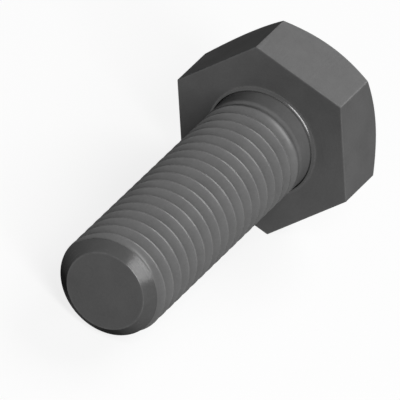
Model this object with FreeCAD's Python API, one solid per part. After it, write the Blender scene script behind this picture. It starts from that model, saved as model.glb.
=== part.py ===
import FreeCAD, Part
import math
import os

# Hexagon head machine screw, forged and rolled as one piece, in millimetres.
# It lies as it comes to rest: on one flat of its head, with the rim of the tip touching the same floor.
# The origin is the centre of the bearing face, on the screw's axis. The head is toward +X and the tip toward -X.

# Shank
shank_diameter = 8.0
length_under_head = 25.0
tip_chamfer_length = 1.0    # measured along the axis
tip_chamfer_depth = 1.0     # measured across the axis
neck_fillet_radius = 0.4    # between the shank and the bearing face

# Head
across_flats = 13.0
head_height = 5.4
crown_inset = 0.1           # from the flats in to the circle where the top face ends
crown_chamfer_angle = 40.0  # degrees that the crown falls away from the top face

# What follows from the sizes above
shank_radius = shank_diameter / 2.0
tip_radius = shank_radius - tip_chamfer_depth
chamfer_start = length_under_head - tip_chamfer_length
crown_radius = across_flats / 2.0 - crown_inset
corner_radius = across_flats / 2.0 / math.cos(math.radians(30.0))

screw_axis = FreeCAD.Vector(1.0, 0.0, 0.0)
centre = FreeCAD.Vector(0.0, 0.0, 0.0)


def along_and_out(along, out):
    """A point of the turned profile: so far along the axis, and so far out from it."""
    return FreeCAD.Vector(along, 0.0, out)


def make_head():
    """A six-sided prism with a flat below and above, trimmed by the cone that chamfers its crown."""
    corners = []
    for corner in range(7):
        turn = math.radians(60.0 * corner)
        corners.append(FreeCAD.Vector(0.0, corner_radius * math.cos(turn), corner_radius * math.sin(turn)))
    hexagon = Part.Face(Part.makePolygon(corners))
    prism = hexagon.extrude(screw_axis * head_height)
    cone_spread = head_height / math.tan(math.radians(crown_chamfer_angle))
    cone = Part.makeCone(crown_radius + cone_spread, crown_radius, head_height, centre, screw_axis)
    return prism.common(cone)


def make_shank():
    """The turned profile from the chamfered tip, along the shank, up the neck fillet and into the head."""
    tip_centre = along_and_out(-length_under_head, 0.0)
    tip_rim = along_and_out(-length_under_head, tip_radius)
    chamfer_top = along_and_out(-chamfer_start, shank_radius)
    fillet_start = along_and_out(-neck_fillet_radius, shank_radius)
    fillet_middle = along_and_out(
        -neck_fillet_radius * (1.0 - math.sin(math.radians(45.0))),
        shank_radius + neck_fillet_radius * (1.0 - math.cos(math.radians(45.0))),
    )
    fillet_end = along_and_out(0.0, shank_radius + neck_fillet_radius)
    inside_rim = along_and_out(head_height / 2.0, shank_radius + neck_fillet_radius)
    inside_centre = along_and_out(head_height / 2.0, 0.0)
    outline = Part.Wire([
        Part.LineSegment(tip_centre, tip_rim).toShape(),
        Part.LineSegment(tip_rim, chamfer_top).toShape(),
        Part.LineSegment(chamfer_top, fillet_start).toShape(),
        Part.Arc(fillet_start, fillet_middle, fillet_end).toShape(),
        Part.LineSegment(fillet_end, inside_rim).toShape(),
        Part.LineSegment(inside_rim, inside_centre).toShape(),
        Part.LineSegment(inside_centre, tip_centre).toShape(),
    ])
    return Part.Face(outline).revolve(centre, screw_axis, 360.0)


def lay_down(screw):
    """Lean the screw, tip down, until the head's lower flat edge and the shank's rim reach one floor."""
    drop = across_flats / 2.0 - shank_radius
    lean = math.degrees(math.atan2(drop, chamfer_start))
    resting = screw.copy()
    resting.rotate(centre, FreeCAD.Vector(0.0, 1.0, 0.0), -lean)
    return resting


def make_hex_screw():
    one_piece = make_head().fuse(make_shank()).removeSplitter()
    return lay_down(one_piece.Solids[0])


os.makedirs("parts", exist_ok=True)
make_hex_screw().exportStep("parts/hex_screw.step")
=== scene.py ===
import bpy
import numpy as np
from mathutils import Matrix, Vector


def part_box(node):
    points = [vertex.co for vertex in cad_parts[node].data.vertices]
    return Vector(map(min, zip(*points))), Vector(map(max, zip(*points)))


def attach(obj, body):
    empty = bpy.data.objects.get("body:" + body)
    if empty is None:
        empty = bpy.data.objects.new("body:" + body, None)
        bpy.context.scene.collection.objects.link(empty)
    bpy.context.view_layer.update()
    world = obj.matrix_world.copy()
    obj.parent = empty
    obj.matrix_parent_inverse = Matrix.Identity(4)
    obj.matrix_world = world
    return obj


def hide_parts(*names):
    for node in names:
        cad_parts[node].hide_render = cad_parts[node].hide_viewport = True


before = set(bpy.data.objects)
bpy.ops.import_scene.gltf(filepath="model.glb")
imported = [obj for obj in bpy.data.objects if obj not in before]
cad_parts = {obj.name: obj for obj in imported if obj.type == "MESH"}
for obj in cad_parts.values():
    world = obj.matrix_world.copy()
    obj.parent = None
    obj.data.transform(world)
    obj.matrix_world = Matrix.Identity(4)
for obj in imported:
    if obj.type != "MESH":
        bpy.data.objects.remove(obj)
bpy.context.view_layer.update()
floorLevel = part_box("hex_screw")[0].z    # metres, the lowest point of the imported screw
metresPerMm = 0.001
print("frame loaded")


# Camera and its place: a very long lens, because the photograph has no perspective

cameraValues = {
    "azimuth": -80.81,                     # degrees round the screw, 0 looks along +Y
    "elevation": 30.84,
    "roll": 31.16,                         # degrees, the picture's right side is raised
    "target": (-3.224, 1.071, -5.044),     # mm, what the picture's middle looks at
    "distance": 1188.8,                    # mm
    "lens": 1500.0,
    "sensor": 36.0,
    "clip": (0.1, 5.0),                    # metres
}


def makeCamera(v):
    # backward = (sin a cos e, -cos a cos e, sin e); right and up are then turned by the roll round it
    a, e, roll = np.radians([v["azimuth"], v["elevation"], v["roll"]])
    backward = Vector((np.sin(a) * np.cos(e), -np.cos(a) * np.cos(e), np.sin(e)))
    level = Vector((0, 0, 1)).cross(backward).normalized()
    right = Matrix.Rotation(roll, 3, backward) @ level
    up = backward.cross(right)
    data = bpy.data.cameras.new("camera")
    data.lens, data.sensor_width = v["lens"], v["sensor"]
    data.clip_start, data.clip_end = v["clip"]
    camera = bpy.data.objects.new("camera", data)
    place = (Vector(v["target"]) + backward * v["distance"]) * metresPerMm
    camera.matrix_world = Matrix.Translation(place) @ Matrix((right, up, backward)).transposed().to_4x4()
    bpy.context.scene.collection.objects.link(camera)
    bpy.context.scene.camera = camera


makeCamera(cameraValues)
print("camera placed")


# The screw as one closed surface: turned profile carried round a rounded hexagon, then a helical thread

screwValues = {
    "acrossFlats": 13.0,      # all lengths in mm
    "cornerRounding": 0.1,    # on the six edges between the flats
    "headHeight": 5.4,
    "crownInset": 0.1,        # from the flats in to the circle where the top face ends
    "crownAngle": 40.0,       # degrees
    "crownRounding": 0.08,
    "rimRounding": 0.07,      # where the flats meet the bearing face
    "shankRadius": 4.0,
    "length": 25.0,           # under the head
    "neckFillet": 0.4,
    "neckEnd": 1.6,           # plain shank under the head
    "runOut": 1.9,            # along which the thread comes to its full depth
    "pitch": 1.25,
    "firstCrest": 1 / 12,     # turns, where the helix leaves the plain shank
    "crestFlat": 1 / 16,      # the metric profile, in shares of the pitch: half the crest's width
    "rootStart": 0.375,       # from a crest's middle to where the root's circle begins
    "rootRadius": 0.1443,
    "rootDepth": 0.6134,
    "crestRounding": 0.06,
    "tipChamferLength": 1.0,
    "tipChamferDepth": 1.0,
    "tipRounding": 0.05,
    "tipStart": 0.12,         # from the tip's flat to where the thread's helix stops
    "tipClear": 0.3,          # from the tip's flat to where the thread's groove begins
    "leadIn": 1.0,            # along which that groove comes to its full depth
    "cornerColumns": 5,       # round each of the six edges
    "columnTurns": [1.0, 2.2, 4.8, 9.0, 13.2, 17.4, 21.6, 25.8],    # degrees from such an edge, to both sides
    "headArcSteps": [3, 4, 4, 9],        # rows in each rounding, from the crown to the neck
    "headSpanSteps": [6, 4, 9, 6, 5],    # rows in each straight span between them
    "tipArcSteps": [4],
    "tipSpanSteps": [2, 6],
    "crestRows": 3,           # in each crest arc, flank and root of the thread
    "flankRows": 5,
    "rootRows": 5,
    "creaseHalvings": 14,     # steps in the search for where the thread meets the tip's chamfer
    "creaseNudge": 0.12,      # share of the way into a triangle at which its normal on the crease is read
    "slopeReach": 0.001,      # to the points from which the thread's slopes are taken
    "weldSteps": 1e5,         # per mm, points in the same step become one
    "flatShare": 0.3,         # share of the rim's rounding that is finished as the flat is
    "crownGap": 0.03,         # from the crown's edge to where a flat's finish ends
    "faceGap": 0.001,         # from the bearing face and the tip's flat to the shank's finish
    "chamferGap": 0.004,      # how deep below the tip's chamfer its finish still reaches
}


def hexagonColumns(v):
    # turn angle and outer radius of each column: on a flat the radius is apothem / cos(angle from its
    # middle); at a corner it follows a small circle centred at (apothem - rounding) / cos 30
    apothem, rounding = v["acrossFlats"] / 2, v["cornerRounding"]
    centre = (apothem - rounding) / np.cos(np.pi / 6)
    bend = np.radians(np.linspace(-30, 30, v["cornerColumns"]))
    cornerTurn = np.arctan2(rounding * np.sin(bend), centre + rounding * np.cos(bend))
    cornerOut = np.hypot(rounding * np.sin(bend), centre + rounding * np.cos(bend))
    fromCorner = np.radians(v["columnTurns"])
    flatTurn = np.concatenate([[-np.pi / 6], -fromCorner[::-1], fromCorner])
    flatOut = apothem / np.cos(np.pi / 6 - np.abs(flatTurn))
    turn = np.concatenate([flatTurn, cornerTurn])
    out = np.concatenate([flatOut, cornerOut])
    order = np.argsort(turn)
    sectors = np.arange(6)[:, None] * np.pi / 3
    return (turn[order] + sectors).ravel(), np.tile(out[order], 6)


def spanRows(start, end, steps):
    # points at (1 - cos(pi t)) / 2 of the way, without the start
    shares = (1 - np.cos(np.pi * np.arange(1, steps + 1) / steps)) / 2
    return [start + (end - start) * share for share in shares]


def roundedProfile(corners, roundings, arcSteps, spanSteps):
    # corners: (count, columns, 2). Each inner corner becomes an arc of its rounding, with the centre on the
    # bisector at rounding / sin(half angle); straight spans get cosine-spaced rows, closer near the edges
    rows, lastEnd = [corners[0]], corners[0]
    for k in range(1, len(corners) - 1):
        toLast = corners[k - 1] - corners[k]
        toNext = corners[k + 1] - corners[k]
        toLast = toLast / np.linalg.norm(toLast, axis=1, keepdims=True)
        toNext = toNext / np.linalg.norm(toNext, axis=1, keepdims=True)
        half = np.arccos(np.clip((toLast * toNext).sum(1, keepdims=True), -1, 1)) / 2
        bisector = toLast + toNext
        bisector = bisector / np.linalg.norm(bisector, axis=1, keepdims=True)
        centre = corners[k] + bisector * roundings[k - 1] / np.sin(half)
        arcStart = corners[k] + toLast * roundings[k - 1] / np.tan(half)
        arcEnd = corners[k] + toNext * roundings[k - 1] / np.tan(half)
        rows += spanRows(lastEnd, arcStart, spanSteps[k - 1])
        sweep = np.pi - 2 * half
        for t in np.linspace(0, 1, arcSteps[k - 1] + 1)[1:]:
            fromStart, fromEnd = np.sin((1 - t) * sweep), np.sin(t * sweep)
            spoke = ((arcStart - centre) * fromStart + (arcEnd - centre) * fromEnd) / np.sin(sweep)
            rows.append(centre + spoke)
        lastEnd = arcEnd
    rows += spanRows(lastEnd, corners[-1], spanSteps[-1])
    return np.array(rows)


def threadDepth(phase, v):
    # metric profile against the distance from the nearest crest's middle: flat for a sixteenth of the pitch,
    # a small crest arc, a 60 degree flank of depth sqrt(3) x distance, then the root's circle
    pitch, rounding = v["pitch"], v["crestRounding"]
    away = np.abs(phase - np.round(phase)) * pitch
    crestArc = v["crestFlat"] * pitch - rounding * np.tan(np.pi / 6)
    intoArc = np.clip(away - crestArc, 0, rounding * np.sin(np.pi / 3))
    crest = rounding - np.sqrt(rounding ** 2 - intoArc ** 2)
    flank = (away - v["crestFlat"] * pitch) * np.sqrt(3)
    rootRadius, rootDepth = v["rootRadius"] * pitch, v["rootDepth"] * pitch
    fromRoot = np.clip(pitch / 2 - away, 0, rootRadius)
    root = rootDepth - rootRadius + np.sqrt(rootRadius ** 2 - fromRoot ** 2)
    depth = np.where(away > crestArc + rounding * np.sin(np.pi / 3), flank, crest)
    return np.where(away > v["rootStart"] * pitch, root, depth)


def threadPhases(v):
    # where one pitch has its rows: crest, crest arc, flank, root, and the same mirrored
    rounding = v["crestRounding"] / v["pitch"]
    arcFrom = v["crestFlat"] - rounding * np.tan(np.pi / 6)
    arcTo = arcFrom + rounding * np.sin(np.pi / 3)
    crest = np.linspace(arcFrom, arcTo, v["crestRows"])
    flank = np.linspace(arcTo, v["rootStart"], v["flankRows"])[1:]
    root = np.linspace(v["rootStart"], 0.5, v["rootRows"])[1:-1]
    rising = np.concatenate([crest, flank, root])
    return np.concatenate([[0.0], rising, [0.5], 1 - rising[::-1]])


def smoothStep(x):
    # 3 x^2 - 2 x^3 between 0 and 1, level beyond them
    x = np.clip(x, 0, 1)
    return x * x * (3 - 2 * x)


def chamferRadius(fromTip, v):
    # the tip's chamfer as a cone: from the rim of the tip's flat outwards, depth over length
    return v["shankRadius"] - v["tipChamferDepth"] + fromTip * v["tipChamferDepth"] / v["tipChamferLength"]


def crownHeight(out, v):
    # the crown as a cone: from the top face's circle down, by the crown's angle
    crown = v["acrossFlats"] / 2 - v["crownInset"]
    return v["headHeight"] - (out - crown) * np.tan(np.radians(v["crownAngle"]))


def threadedRadius(along, turn, v):
    # thread = shank - depth x fade, where the fade rises from the neck and from the tip; cone = the tip's
    # chamfer, carried on. The surface is the lower of the two. The phase counts pitches towards the tip, plus
    # turns round the axis
    fromNeck, fromTip = -v["neckEnd"] - along, along + v["length"]
    fade = smoothStep(fromNeck / v["runOut"]) * smoothStep((fromTip - v["tipClear"]) / v["leadIn"])
    phase = fromNeck / v["pitch"] + turn / (2 * np.pi) + v["firstCrest"]
    thread = v["shankRadius"] - threadDepth(phase, v) * fade
    return thread, chamferRadius(fromTip, v), fade


def threadBlock(turn, v):
    # row j of column i lies at along = -neckEnd + pitch x (turn / 2 pi + firstCrest - phase j), held between
    # neck and tip; where the thread and the tip's cone cross, found by halving, the nearer row moves there
    first, last = -v["neckEnd"], -v["length"] + v["tipStart"]
    phases = threadPhases(v)
    turns = int(np.ceil((first - last) / v["pitch"])) + 1
    rowPhase = (np.arange(turns)[:, None] + phases).ravel()
    share = turn / (2 * np.pi) + v["firstCrest"]
    along = np.clip(first + v["pitch"] * (share - rowPhase[:, None]), last, first)

    def threadIsLower(along):
        thread, cone = threadedRadius(along, turn, v)[:2]
        return thread < cone

    above, below = along[:-1].copy(), along[1:].copy()
    crosses = (threadIsLower(above) != threadIsLower(below)) & (above > below)
    for halving in range(v["creaseHalvings"]):
        middle = (above + below) / 2
        likeAbove = threadIsLower(middle) == threadIsLower(above)
        above, below = np.where(likeAbove, middle, above), np.where(likeAbove, below, middle)
    nearAbove = along[:-1] - above < above - along[1:]
    along[:-1] = np.where(crosses & nearAbove, above, along[:-1])
    along[1:] = np.where(crosses & ~nearAbove, above, along[1:])
    crease = np.zeros(along.shape, bool)
    crease[:-1] |= crosses & nearAbove
    crease[1:] |= crosses & ~nearAbove
    thread, cone, fade = threadedRadius(along, turn, v)
    out = np.minimum(thread, cone)
    groove = np.minimum(v["shankRadius"], cone) - out
    belowCrest = v["shankRadius"] - out + 1 - fade     # a crest counts as an edge where it is full
    return along, out, groove, belowCrest, crease, len(phases)


def gridQuads(rows, columns, start, shift=0):
    # neighbours in a grid of points; the last column meets the first one, shift rows back
    index = start + np.arange(rows * columns).reshape(rows, columns)
    meets = index[np.maximum(np.arange(rows) - shift, 0), 0]
    closed = np.column_stack([index, meets])
    return np.stack([closed[:-1, :-1], closed[1:, :-1], closed[1:, 1:], closed[:-1, 1:]], -1).reshape(-1, 4)


def weld(points, quads, crease, v):
    # points that coincide become one, and each quad gives the triangles that keep three corners; its diagonal
    # follows the crease where its second and fourth corners lie on it
    keys = np.round(points * v["weldSteps"]).astype(np.int64)
    kept, same = np.unique(keys, axis=0, return_index=True, return_inverse=True)[1:]
    quads = same.reshape(-1)[quads]
    onCrease = crease[kept][quads]
    turned = onCrease[:, 1] & onCrease[:, 3] & ~(onCrease[:, 0] & onCrease[:, 2])
    quads = np.where(turned[:, None], np.roll(quads, 1, axis=1), quads)
    triangles = np.stack([quads[:, [0, 1, 2]], quads[:, [0, 2, 3]]], 1).reshape(-1, 3)
    whole = (triangles != np.roll(triangles, 1, axis=1)).all(1)
    return kept, triangles[whole]


def edgeDistance(along, out, turn, v):
    # how far a point of the head or tip is from the nearest sharp edge, in mm
    apothem = v["acrossFlats"] / 2
    fromMiddle = np.abs(turn % (np.pi / 3) - np.pi / 6)
    hexagon = apothem / np.cos(fromMiddle)
    toCorner = apothem * np.tan(np.pi / 6) - out * np.sin(fromMiddle)
    onFlat = np.maximum(np.minimum(toCorner, np.minimum(along, crownHeight(hexagon, v) - along)), 0)
    inside = hexagon - out
    onTop = np.minimum(np.abs(apothem - v["crownInset"] - out), inside)
    onFace = np.where(along > v["headHeight"] / 2, onTop, inside * np.cos(fromMiddle))
    onHead = np.where(inside < v["rimRounding"], onFlat, onFace)
    tipRim = np.hypot(along + v["length"], out - v["shankRadius"] + v["tipChamferDepth"])
    chamferRim = np.hypot(along + v["length"] - v["tipChamferLength"], out - v["shankRadius"])
    return np.where(along > -v["neckFillet"] / 2, onHead, np.minimum(tipRim, chamferRim))


def screwSurface(v):
    # (along, turn, out) of every point: head and neck, then thread, then tip
    turn, hexagon = hexagonColumns(v)
    columns = len(turn)
    crown = v["acrossFlats"] / 2 - v["crownInset"]
    ring, zero = np.ones(columns), np.zeros(columns)
    headCorners = np.array([
        np.stack([v["headHeight"] * ring, zero], 1),
        np.stack([v["headHeight"] * ring, crown * ring], 1),
        np.stack([crownHeight(hexagon, v), hexagon], 1),
        np.stack([zero, hexagon], 1),
        np.stack([zero, v["shankRadius"] * ring], 1),
        np.stack([-v["neckEnd"] * ring, v["shankRadius"] * ring], 1),
    ])
    headRounding = [v["crownRounding"], v["crownRounding"], v["rimRounding"], v["neckFillet"]]
    head = roundedProfile(headCorners, headRounding, v["headArcSteps"], v["headSpanSteps"])
    along, out, groove, belowCrest, crease, rowsPerTurn = threadBlock(turn, v)
    tipRadius = v["shankRadius"] - v["tipChamferDepth"]
    tipCorners = np.array([
        np.stack([along[-1], out[-1]], 1),
        np.stack([-v["length"] * ring, tipRadius * ring], 1),
        np.stack([-v["length"] * ring, zero], 1),
    ])
    tip = roundedProfile(tipCorners, [v["tipRounding"]], v["tipArcSteps"], v["tipSpanSteps"])
    blocks = [head, np.stack([along, out], -1), tip]
    starts = np.cumsum([0] + [len(block) * columns for block in blocks])
    quads = np.concatenate([
        gridQuads(len(head), columns, starts[0]),
        gridQuads(len(along), columns, starts[1], rowsPerTurn),
        gridQuads(len(tip), columns, starts[2]),
    ])
    profile = np.concatenate([block.reshape(-1, 2) for block in blocks])
    turns = np.tile(turn, len(profile) // columns)
    points = np.stack([
        profile[:, 0],
        profile[:, 1] * np.cos(turns),
        profile[:, 1] * np.sin(turns),
    ], 1)

    def withHeadAndTip(onThread, elsewhere):
        before, after = np.full(starts[1], elsewhere), np.full(starts[3] - starts[2], elsewhere)
        return np.concatenate([before, onThread.ravel(), after])

    edge = edgeDistance(profile[:, 0], profile[:, 1], turns, v)
    edge = np.minimum(edge, withHeadAndTip(belowCrest, 1.0))
    return points, quads, edge, withHeadAndTip(groove, 0.0), withHeadAndTip(crease, False)


def finishOf(middle, v):
    # which finish a triangle has: 0 on the faces square to the axis and the crown, 1 on the flats,
    # 2 on the shank, 3 on the neck's fillet, 4 on the tip's chamfer
    along, out = middle[:, 0], np.hypot(middle[:, 1], middle[:, 2])
    turn = np.arctan2(middle[:, 2], middle[:, 1])
    toFlat = v["acrossFlats"] / 2 - out * np.cos(turn % (np.pi / 3) - np.pi / 6)
    rim = v["rimRounding"] * v["flatShare"]
    onFlat = (toFlat < rim) & (along > rim) & (crownHeight(out, v) - along > v["crownGap"])
    onShank = (along < -v["faceGap"]) & (along > v["faceGap"] - v["length"])
    onFillet = onShank & (along > -v["neckFillet"])
    fromTip = along + v["length"]
    onChamfer = onShank & ((chamferRadius(fromTip, v) - out < v["chamferGap"]) | (fromTip < v["tipStart"]))
    return np.select([onFillet, onChamfer, onShank, onFlat], [3, 4, 2, 1], 0)


def turnedNormals(places, v):
    # normal of the neck's fillet: towards its arc's centre; of the shank: the gradient of distance - radius,
    # with the radius' slopes along the screw and round it taken from two points close by
    along, out = places[:, 0], np.hypot(places[:, 1], places[:, 2])
    turn, reach = np.arctan2(places[:, 2], places[:, 1]), v["slopeReach"]

    def radius(along, turn):
        return np.minimum(*threadedRadius(along, turn, v)[:2])

    alongSlope = (radius(along + reach, turn) - radius(along - reach, turn)) / (2 * reach)
    roundSlope = (radius(along, turn + reach / out) - radius(along, turn - reach / out)) / (2 * reach)
    inFillet = along > -v["neckFillet"]
    axial = np.where(inFillet, -v["neckFillet"] - along, -alongSlope)
    radial = np.where(inFillet, v["shankRadius"] + v["neckFillet"] - out, 1)
    tangent = np.where(inFillet, 0, -roundSlope)
    normals = np.stack([
        axial,
        radial * np.cos(turn) - tangent * np.sin(turn),
        radial * np.sin(turn) + tangent * np.cos(turn),
    ], 1)
    return normals / np.maximum(np.linalg.norm(normals, axis=1, keepdims=True), 1e-9)


def cornerNormals(points, triangles, crease, v):
    # head and tip: the mean of the faces round a point, weighed by their area, so that small roundings run
    # into flat faces; shank: as worked out, and on the crease between thread and chamfer one for each side
    corners = points[triangles]
    facing = np.cross(corners[:, 1] - corners[:, 0], corners[:, 2] - corners[:, 0])
    summed = np.zeros_like(points)
    for corner in range(3):
        np.add.at(summed, triangles[:, corner], facing)
    summed = summed / np.linalg.norm(summed, axis=1, keepdims=True)
    middle = corners.mean(1, keepdims=True)
    beside = (corners + (middle - corners) * v["creaseNudge"]).reshape(-1, 3)
    onCrease = crease[triangles][:, :, None]
    besideNormals = turnedNormals(beside, v).reshape(-1, 3, 3)
    turned = np.where(onCrease, besideNormals, turnedNormals(points, v)[triangles])
    onShank = (middle[:, :, 0] < 0) & (middle[:, :, 0] > v["tipStart"] - v["length"])
    return np.where(onShank[:, :, None], turned, summed[triangles])


def neckTurn(points, v):
    # how far the neck's fillet has turned, as an angle at its centre: 0 at the bearing face, 1 at the shank
    toShank = v["shankRadius"] + v["neckFillet"] - np.hypot(points[:, 1], points[:, 2])
    return np.clip(np.arctan2(toShank, points[:, 0] + v["neckFillet"]) / (np.pi / 2), 0, 1)


def makeScrew(v):
    # the closed surface, leaned by atan(drop / length to the chamfer) so that it lies as the source lays it
    points, quads, edge, groove, crease = screwSurface(v)
    kept, triangles = weld(points, quads, crease, v)
    points, edge, groove, crease = points[kept], edge[kept], groove[kept], crease[kept]
    lean = np.arctan2(v["acrossFlats"] / 2 - v["shankRadius"], v["length"] - v["tipChamferLength"])
    turnDown = np.array([[np.cos(lean), 0, np.sin(lean)], [0, 1, 0], [-np.sin(lean), 0, np.cos(lean)]])
    mesh = bpy.data.meshes.new("hexScrew")
    mesh.from_pydata(points @ turnDown * metresPerMm, [], triangles)
    surfaceValues = {"edgeDistance": edge, "grooveDepth": groove, "neckTurn": neckTurn(points, v)}
    for name, values in surfaceValues.items():
        mesh.attributes.new(name, "FLOAT", "POINT").data.foreach_set("value", values.astype(np.float32))
    mesh.polygons.foreach_set("use_smooth", np.ones(len(triangles), bool))
    mesh.polygons.foreach_set("material_index", finishOf(points[triangles].mean(1), v).astype(np.int32))
    mesh.update()
    mesh.normals_split_custom_set((cornerNormals(points, triangles, crease, v) @ turnDown).reshape(-1, 3))
    piece = bpy.data.objects.new("threaded_hex_screw", mesh)
    bpy.context.scene.collection.objects.link(piece)
    print("screw:", len(kept), "points,", len(triangles), "triangles")
    return piece, lean


screw, screwLean = makeScrew(screwValues)
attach(screw, "root")
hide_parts("hex_screw")


# Node groups that the finishes share; lengths in them are mm, along and across the screw

def addNode(tree, kind, sockets=None, **settings):
    # a node with its settings; sockets gives an input, by name or number, a value or the output that feeds it
    node = tree.nodes.new("ShaderNode" + kind)
    for name, value in settings.items():
        setattr(node, name, value)
    for key, value in (sockets or {}).items():
        if isinstance(value, bpy.types.NodeSocket):
            tree.links.new(value, node.inputs[key])
        else:
            node.inputs[key].default_value = value
    return node


def newGroup(name, inputs, output):
    # a shader node group with named inputs (a vector has no value of its own) and one named output
    group = bpy.data.node_groups.new(name, "ShaderNodeTree")
    for label, value in inputs.items():
        kind = "NodeSocketVector" if value is None else "NodeSocketFloat"
        socket = group.interface.new_socket(name=label, in_out="INPUT", socket_type=kind)
        if value is not None:
            socket.default_value = value
    group.interface.new_socket(name=output, in_out="OUTPUT", socket_type="NodeSocketFloat")
    return group, group.nodes.new("NodeGroupInput").outputs, group.nodes.new("NodeGroupOutput").inputs


def makeOxideClouds():
    # tone = cloud noise and a finer speckle noise, added around 0
    group, given, result = newGroup("oxideClouds", {"Place": None, "Cloud Scale": 0.5, "Speckle Scale": 4.0,
                                                    "Speckle Share": 0.4}, "Tone")
    cloud = addNode(group, "TexNoise", {"Vector": given["Place"], "Scale": given["Cloud Scale"],
                                        "Detail": 3.0, "Roughness": 0.55})
    speckle = addNode(group, "TexNoise", {"Vector": given["Place"], "Scale": given["Speckle Scale"],
                                          "Detail": 4.0, "Roughness": 0.6})
    blend = addNode(group, "Mix", {"Factor": given["Speckle Share"], "A": cloud.outputs["Fac"],
                                   "B": speckle.outputs["Fac"]})
    tone = addNode(group, "MapRange", {"Value": blend.outputs["Result"], "From Min": 0.3, "From Max": 0.7,
                                       "To Min": -1.0, "To Max": 1.0})
    group.links.new(tone.outputs["Result"], result["Tone"])
    return group


def makeTurnedLines():
    # rings round the axis: one-dimensional noise of the distance from the axis, a little wavering
    group, given, result = newGroup("turnedLines", {"Place": None, "Lines Per Mm": 6.0, "Waver": 0.03},
                                    "Height")
    across = addNode(group, "VectorMath", {0: given["Place"], 1: (0.0, 1.0, 1.0)}, operation="MULTIPLY")
    out = addNode(group, "VectorMath", {0: across.outputs["Vector"]}, operation="LENGTH")
    drift = addNode(group, "TexNoise", {"Vector": given["Place"], "Scale": 0.4, "Detail": 1.0})
    wavering = addNode(group, "Math", {0: drift.outputs["Fac"], 1: given["Waver"], 2: out.outputs["Value"]},
                       operation="MULTIPLY_ADD")
    count = addNode(group, "Math", {0: wavering.outputs[0], 1: given["Lines Per Mm"]}, operation="MULTIPLY")
    lines = addNode(group, "TexNoise", {"W": count.outputs[0], "Scale": 1.0, "Detail": 3.0, "Roughness": 0.6},
                    noise_dimensions="1D")
    height = addNode(group, "Math", {0: lines.outputs["Fac"], 1: 0.5}, operation="SUBTRACT")
    group.links.new(height.outputs[0], result["Height"])
    return group


def makeDrawnStreaks():
    # noise pulled out along the screw's axis, as a trimming die or a drawing ring leaves it
    group, given, result = newGroup("drawnStreaks", {"Place": None, "Streaks Per Mm": 5.0,
                                                     "Length Share": 0.04}, "Height")
    pull = addNode(group, "CombineXYZ", {"X": given["Length Share"], "Y": 1.0, "Z": 1.0})
    pulled = addNode(group, "VectorMath", {0: given["Place"], 1: pull.outputs[0]}, operation="MULTIPLY")
    streaks = addNode(group, "TexNoise", {"Vector": pulled.outputs["Vector"],
                                          "Scale": given["Streaks Per Mm"], "Detail": 3.0, "Roughness": 0.6})
    height = addNode(group, "Math", {0: streaks.outputs["Fac"], 1: 0.5}, operation="SUBTRACT")
    group.links.new(height.outputs[0], result["Height"])
    return group


def makeEdgeBurnish():
    # 1 on an edge, falling to 0 at the reach, broken up by noise; the distance comes from the mesh
    group, given, result = newGroup("edgeBurnish", {"Place": None, "Reach": 0.2, "Patch Scale": 2.0}, "Mask")
    distance = addNode(group, "Attribute", attribute_name="edgeDistance")
    near = addNode(group, "MapRange", {"Value": distance.outputs["Fac"], "From Min": given["Reach"],
                                       "From Max": 0.0}, interpolation_type="SMOOTHSTEP")
    patches = addNode(group, "TexNoise", {"Vector": given["Place"], "Scale": given["Patch Scale"],
                                          "Detail": 3.0})
    broken = addNode(group, "MapRange", {"Value": patches.outputs["Fac"], "From Min": 0.35, "From Max": 0.65,
                                         "To Min": 0.3, "To Max": 1.0})
    mask = addNode(group, "Math", {0: near.outputs["Result"], 1: broken.outputs["Result"]},
                   operation="MULTIPLY")
    group.links.new(mask.outputs[0], result["Mask"])
    return group


def makeFineGrain():
    # crystal grain of the oxide: fine noise with sparse shallow pits from a cell pattern
    group, given, result = newGroup("fineGrain", {"Place": None, "Grain Scale": 9.0, "Pit Scale": 1.6,
                                                  "Pit Depth": 0.5}, "Height")
    grain = addNode(group, "TexNoise", {"Vector": given["Place"], "Scale": given["Grain Scale"],
                                        "Detail": 3.0, "Roughness": 0.65})
    cells = addNode(group, "TexVoronoi", {"Vector": given["Place"], "Scale": given["Pit Scale"]})
    pits = addNode(group, "MapRange", {"Value": cells.outputs["Distance"], "From Min": 0.0, "From Max": 0.22,
                                       "To Min": 1.0, "To Max": 0.0}, interpolation_type="SMOOTHSTEP")
    sunk = addNode(group, "Math", {0: pits.outputs["Result"], 1: given["Pit Depth"]}, operation="MULTIPLY")
    height = addNode(group, "Math", {0: grain.outputs["Fac"], 1: sunk.outputs[0]}, operation="SUBTRACT")
    group.links.new(height.outputs[0], result["Height"])
    return group


sharedGroups = {
    "clouds": makeOxideClouds(),
    "lines": makeTurnedLines(),
    "streaks": makeDrawnStreaks(),
    "burnish": makeEdgeBurnish(),
    "grain": makeFineGrain(),
}


# Finishes: black oxide over pressed, trimmed, rolled, die-polished and turned steel, their tones partly set
# apart as painted light and shade

pressedFaceValues = {
    "tone": 0.147, "toneSpread": 0.1, "cloudScale": 0.45, "speckleScale": 5.0,
    "marks": "lines", "marksPerMm": 7.0, "markDepth": 0.006,      # heights in mm
    "grainScale": 9.0, "grainDepth": 0.004,
    "burnishReach": 0.16, "burnishTone": 0.24, "burnishShare": 0.35, "burnishPolish": 0.4,
    "metallic": 0.18, "edgeGloss": 0.15, "roughness": 0.4, "roughnessSpread": 0.05, "markRoughness": 0.25,
    "grooveShadeTone": 1.0, "grooveFrom": 0.1, "grooveTo": 0.75,         # share of the tone left deep in the groove, as painted shade
}

# the flats' tone is set a little lighter than the faces' as painted light, for the flat that faces the lamps
trimmedFlatValues = dict(pressedFaceValues, tone=0.158, marks="streaks", marksPerMm=6.0)

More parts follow.
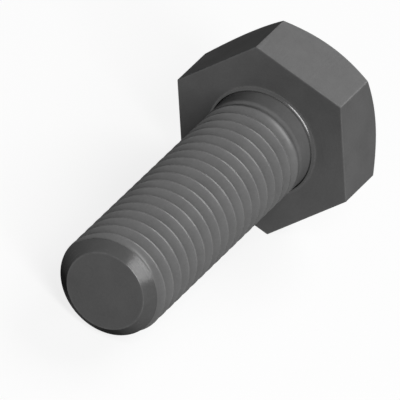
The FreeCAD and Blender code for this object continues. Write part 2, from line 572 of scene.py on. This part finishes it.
# on the shank the thread's grooves are darkened, as painted shade
# the shank's tone is set lighter than the faces' as painted light, for the light its thread's flanks turn
# away; the fillet runs up to it
rolledShankValues = dict(pressedFaceValues, tone=0.222, cloudScale=0.6, marksPerMm=12.0, markDepth=0.003,
                         grainDepth=0.002, burnishReach=0.12, burnishTone=0.28, metallic=0.14, roughness=0.34,
                         grooveShadeTone=0.85)

# the fillet's middle band is darkened as painted shade
neckFilletValues = dict(rolledShankValues, tone=0.147, shankTone=0.222, marksPerMm=16.0, metallic=0.18,
                        roughness=0.4, bandShade=0.55, bandMetallic=1.0, bandPolish=0.18, bandReach=0.4)

# the chamfer's tone is set darker than the shank's, as painted shade for its unlit side
tipChamferValues = dict(rolledShankValues, tone=0.125, metallic=0.25, roughness=0.22)


def makeFinish(name, v):
    # black oxide: clouded grey, darker in the grooves as painted shade, worn a little brighter on the edges,
    # with forming marks and grain as bump
    material = bpy.data.materials.new(name)
    material.use_nodes = True
    tree = material.node_tree
    shader = tree.nodes["Principled BSDF"]
    shader.inputs["Metallic"].default_value = v["metallic"]
    shader.inputs["Specular IOR Level"].default_value = 0.0
    shader.inputs["Specular Tint"].default_value = (v["edgeGloss"], v["edgeGloss"], v["edgeGloss"], 1)
    where = addNode(tree, "TexCoord")
    place = addNode(tree, "Mapping", {"Vector": where.outputs["Object"], "Rotation": (0.0, screwLean, 0.0),
                                      "Scale": (1 / metresPerMm,) * 3}).outputs["Vector"]

    def shared(key, **values):
        node = addNode(tree, "Group", node_tree=sharedGroups[key])
        tree.links.new(place, node.inputs["Place"])
        for label, value in values.items():
            node.inputs[label.replace("_", " ")].default_value = value
        return node.outputs[0]

    clouds = shared("clouds", Cloud_Scale=v["cloudScale"], Speckle_Scale=v["speckleScale"])
    if v["marks"] == "lines":
        marks = shared("lines", Lines_Per_Mm=v["marksPerMm"])
    else:
        marks = shared("streaks", Streaks_Per_Mm=v["marksPerMm"])
    burnish = shared("burnish", Reach=v["burnishReach"])
    grain = shared("grain", Grain_Scale=v["grainScale"])

    # the neck's fillet runs from the face's tone to the shank's, with a more metallic band between whose tone
    # is darkened as painted shade
    tone = v["tone"]
    if "bandMetallic" in v:
        turned = addNode(tree, "Attribute", attribute_name="neckTurn").outputs["Fac"]
        toMiddle = addNode(tree, "Math", {0: turned, 1: 0.5}, operation="PINGPONG")
        band = addNode(tree, "MapRange", {"Value": toMiddle.outputs[0], "From Max": v["bandReach"]},
                       interpolation_type="SMOOTHSTEP").outputs["Result"]
        between = addNode(tree, "MapRange", {"Value": turned, "To Min": v["tone"], "To Max": v["shankTone"]})
        shade = addNode(tree, "Math", {0: band, 1: -v["bandShade"], 2: 1.0}, operation="MULTIPLY_ADD")
        tone = addNode(tree, "Math", {0: between.outputs["Result"], 1: shade.outputs[0]},
                       operation="MULTIPLY").outputs[0]
        metallic = addNode(tree, "MapRange", {"Value": band, "To Min": v["metallic"],
                                              "To Max": v["bandMetallic"]})
        tree.links.new(metallic.outputs["Result"], shader.inputs["Metallic"])

    # tone x (1 + spread x clouds), darker in the grooves as painted shade, then towards the burnished tone on
    # the edges
    variation = addNode(tree, "Math", {0: clouds, 1: v["toneSpread"], 2: 1.0}, operation="MULTIPLY_ADD")
    clouded = addNode(tree, "Math", {0: variation.outputs[0], 1: tone}, operation="MULTIPLY")
    groove = addNode(tree, "Attribute", attribute_name="grooveDepth")
    grooveShading = addNode(tree, "MapRange", {"Value": groove.outputs["Fac"], "From Min": v["grooveFrom"],
                                         "From Max": v["grooveTo"], "To Min": 1.0, "To Max": v["grooveShadeTone"]})
    grooveShaded = addNode(tree, "Math", {0: clouded.outputs[0], 1: grooveShading.outputs["Result"]},
                     operation="MULTIPLY")
    worn = addNode(tree, "Math", {0: burnish, 1: v["burnishShare"]}, operation="MULTIPLY")
    grey = addNode(tree, "Mix", {"Factor": worn.outputs[0], "A": grooveShaded.outputs[0],
                                 "B": v["burnishTone"]}).outputs["Result"]
    tint = addNode(tree, "CombineColor", {"Red": grey, "Green": grey, "Blue": grey})
    tree.links.new(tint.outputs["Color"], shader.inputs["Base Color"])

    # roughness: rougher where the clouds are pale and in the marks, smoother where burnished
    uneven = addNode(tree, "Math", {0: clouds, 1: v["roughnessSpread"], 2: v["roughness"]},
                     operation="MULTIPLY_ADD")
    lined = addNode(tree, "Math", {0: marks, 1: v["markRoughness"], 2: uneven.outputs[0]},
                    operation="MULTIPLY_ADD")
    polished = addNode(tree, "Math", {0: worn.outputs[0], 1: -v["burnishPolish"], 2: lined.outputs[0]},
                       operation="MULTIPLY_ADD")
    smooth = polished.outputs[0]
    if "bandMetallic" in v:
        smooth = addNode(tree, "Math", {0: band, 1: -v["bandPolish"], 2: smooth},
                         operation="MULTIPLY_ADD").outputs[0]
    tree.links.new(smooth, shader.inputs["Roughness"])

    # bump: marks and grain in mm, one unit of height being one mm
    marked = addNode(tree, "Math", {0: marks, 1: v["markDepth"]}, operation="MULTIPLY")
    height = addNode(tree, "Math", {0: grain, 1: v["grainDepth"], 2: marked.outputs[0]},
                     operation="MULTIPLY_ADD")
    bump = addNode(tree, "Bump", {"Height": height.outputs[0], "Strength": 1.0, "Distance": metresPerMm})
    tree.links.new(bump.outputs["Normal"], shader.inputs["Normal"])
    return material


finishes = {                  # in the order of the numbers that finishOf gives
    "pressedFaceOxide": pressedFaceValues,
    "trimmedFlatOxide": trimmedFlatValues,
    "rolledShankOxide": rolledShankValues,
    "neckFilletOxide": neckFilletValues,
    "tipChamferOxide": tipChamferValues,
}
for name, values in finishes.items():
    screw.data.materials.append(makeFinish(name, values))
print("finishes made")


# Floor and lights

floorValues = {
    "size": 3.0,          # metres
    "colour": 0.2,        # what it gives back to the object
    "glow": 0.83,         # added where the camera or a reflection sees it, so that it shows white
    "farGlow": 1.0,       # the same where the lamps no longer reach
    "near": 0.05,         # metres from the screw, where the glow begins to rise
    "far": 0.3,
}

keyValues = {
    "direction": (-0.64, -0.435, 0.64),
    "distance": 0.3,      # metres
    "along": (0.15, -0.88, -0.45),   # which way its longer side runs, so that the neck's glint is an arc
    "size": (0.07, 0.24),
    "level": 0.7,         # share of the level at which a facing colour renders as written
}

fillValues = {
    "direction": (0.75, -0.15, 0.64),
    "distance": 0.3,
    "along": (0.0, 0.0, 1.0),
    "size": (0.2, 0.2),
    "level": 0.57,
}

worldLevel = 0.02


def seenDirectly(tree):
    # 1 for camera, glossy and transmission rays, so that gloss shows the same white as the camera
    path = addNode(tree, "LightPath")
    glossy = addNode(tree, "Math", {0: path.outputs["Is Camera Ray"], 1: path.outputs["Is Glossy Ray"]},
                     operation="MAXIMUM")
    both = addNode(tree, "Math", {0: glossy.outputs[0], 1: path.outputs["Is Transmission Ray"]},
                   operation="MAXIMUM")
    return both.outputs[0]


def makeFloor(v):
    # one level square under the screw's lowest point
    half = v["size"] / 2
    mesh = bpy.data.meshes.new("floor")
    corners = [(-half, -half), (half, -half), (half, half), (-half, half)]
    mesh.from_pydata([(x, y, floorLevel) for x, y in corners], [], [(0, 1, 2, 3)])
    floor = bpy.data.objects.new("floor", mesh)
    bpy.context.scene.collection.objects.link(floor)
    material = bpy.data.materials.new("paleFloor")
    material.use_nodes = True
    tree = material.node_tree
    shader = tree.nodes["Principled BSDF"]
    shader.inputs["Base Color"].default_value = (v["colour"], v["colour"], v["colour"], 1)
    shader.inputs["Roughness"].default_value = 1.0
    shader.inputs["Specular IOR Level"].default_value = 0.0
    where = addNode(tree, "TexCoord")
    away = addNode(tree, "VectorMath", {0: where.outputs["Object"]}, operation="LENGTH")
    rising = addNode(tree, "MapRange", {"Value": away.outputs["Value"], "From Min": v["near"],
                                        "From Max": v["far"], "To Min": v["glow"], "To Max": v["farGlow"]})
    glow = addNode(tree, "Emission", {"Strength": rising.outputs["Result"]})
    bright = addNode(tree, "AddShader", {0: shader.outputs[0], 1: glow.outputs[0]})
    choose = addNode(tree, "MixShader", {0: seenDirectly(tree), 1: shader.outputs[0], 2: bright.outputs[0]})
    tree.links.new(choose.outputs[0], tree.nodes["Material Output"].inputs["Surface"])
    mesh.materials.append(material)


def makeLamp(name, v):
    # an area lamp of power pi^2 d^2 x level lights a facing surface so that its colour renders as written
    data = bpy.data.lights.new(name, "AREA")
    data.shape = "RECTANGLE"
    data.size, data.size_y = v["size"]
    data.energy = np.pi ** 2 * v["distance"] ** 2 * v["level"]
    lamp = bpy.data.objects.new(name, data)
    direction = Vector(v["direction"]).normalized()
    across = Vector(v["along"]).cross(direction).normalized()
    axes = Matrix((across, direction.cross(across), direction)).transposed()
    lamp.matrix_world = Matrix.Translation(direction * v["distance"]) @ axes.to_4x4()
    bpy.context.scene.collection.objects.link(lamp)


def makeWorld(level):
    # white where it is seen, dim as a light
    world = bpy.data.worlds.new("studio")
    bpy.context.scene.world = world
    world.use_nodes = True
    tree = world.node_tree
    dim = tree.nodes["Background"]
    dim.inputs["Color"].default_value = (1, 1, 1, 1)
    dim.inputs["Strength"].default_value = level
    white = addNode(tree, "Background", {"Color": (1, 1, 1, 1), "Strength": 1.0})
    choose = addNode(tree, "MixShader", {0: seenDirectly(tree), 1: dim.outputs[0], 2: white.outputs[0]})
    tree.links.new(choose.outputs[0], tree.nodes["World Output"].inputs["Surface"])


makeFloor(floorValues)
makeLamp("keyLamp", keyValues)
makeLamp("fillLamp", fillValues)
makeWorld(worldLevel)
bpy.context.scene.view_settings.view_transform = "Standard"
print("studio lit")
